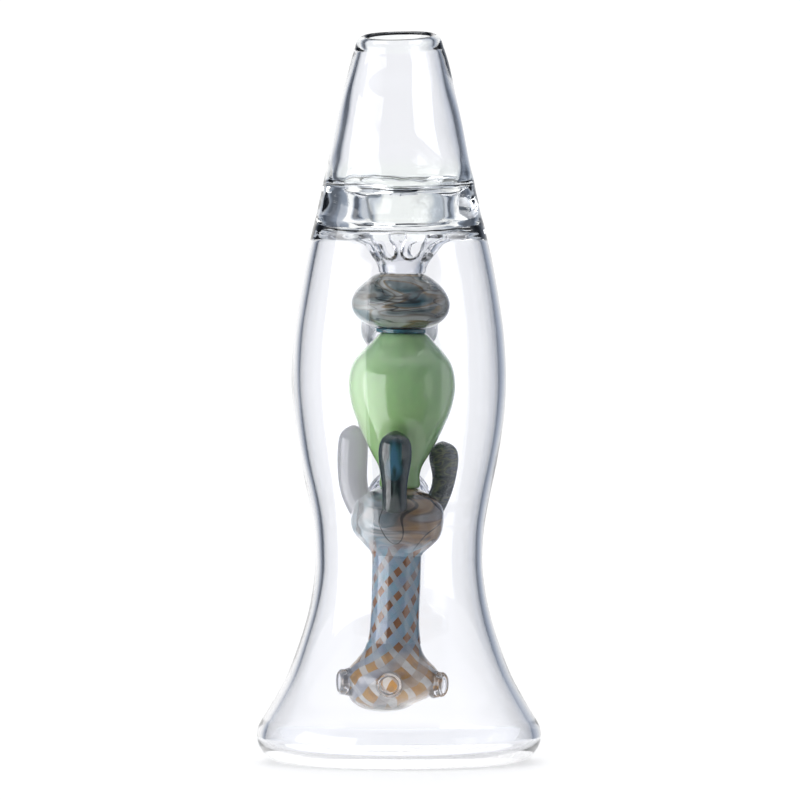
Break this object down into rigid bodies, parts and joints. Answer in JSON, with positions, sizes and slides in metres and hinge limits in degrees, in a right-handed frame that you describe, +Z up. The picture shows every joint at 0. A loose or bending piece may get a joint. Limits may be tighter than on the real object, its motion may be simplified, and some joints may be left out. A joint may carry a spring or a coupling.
{
  "type": "glass water pipe",
  "caption": "Clear glass water pipe in the outline of a lava lamp, with a green bulb on a striped glass column hanging inside and a tilted inlet socket behind.",
  "frame": {"origin": "centre of the flat underside of the foot", "axes": "+Z up along the vessel's axis, front towards -Y, inlet towards +Y"},
  "size_m": [0.0784, 0.1117, 0.2],
  "materials": {
    "clear_glass": "clear polished borosilicate, faint lavender tint",
    "ground_glass": "clear outside, ground matt inside the taper",
    "smoky_glass": "translucent grey with tan, brown and teal streaks",
    "teal_glass": "deep teal, polished",
    "mint_glass": "opaque milky green, polished",
    "striped_glass": "pale blue glass with crossed grey and amber cane stripes",
    "dark_glass": "very dark green with a blue core",
    "grey_glass": "lavender grey, polished",
    "olive_glass": "olive grey with a paler fold"
  },
  "bodies": {
    "root": {"foot_plate": "clear_glass", "body_shell": "clear_glass", "divider_disc": "clear_glass", "mouthpiece": "clear_glass", "vent_funnel": "clear_glass", "knob": "smoky_glass", "neck_band": "teal_glass", "bulb": "mint_glass", "collar": "striped_glass", "finger_front": "dark_glass", "finger_left": "grey_glass", "finger_right": "olive_glass", "stem": "striped_glass", "diffuser": "striped_glass", "port_1": "clear_glass", "port_2": "clear_glass", "port_3": "clear_glass", "port_4": "clear_glass", "port_5": "clear_glass", "wall_seal": "clear_glass", "bridge_tube": "clear_glass", "inlet_tube": "clear_glass", "inlet_socket": "ground_glass"}
  },
  "joints": []
}
